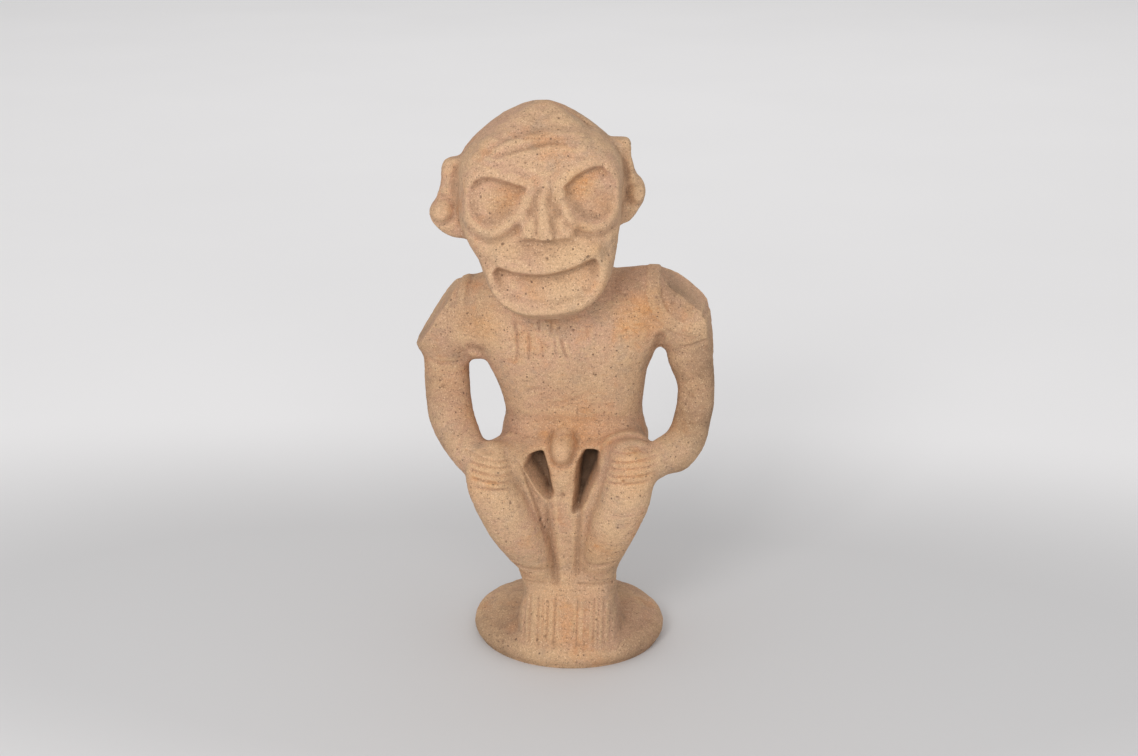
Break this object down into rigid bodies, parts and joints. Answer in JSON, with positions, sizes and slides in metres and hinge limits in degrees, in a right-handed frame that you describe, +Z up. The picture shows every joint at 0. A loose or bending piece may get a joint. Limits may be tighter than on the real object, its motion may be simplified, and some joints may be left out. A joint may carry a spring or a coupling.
{
  "type": "zemi figure",
  "caption": "Carved stone squatting figure with goggle eyes and a broad crescent mouth, hands on its knees, on a round base.",
  "frame": {"origin": "centre of the flat underside of the round base", "axes": "+Z up from the base through the head; +X towards the figure's own left, which is the viewer's right; +Y from the figure's front to its back"},
  "size_m": [0.1808, 0.1231, 0.3383],
  "materials": {
    "stone": "matt, porous and weathered, tan to brown"
  },
  "bodies": {
    "root": {"zemi_figure": "stone"}
  },
  "joints": []
}
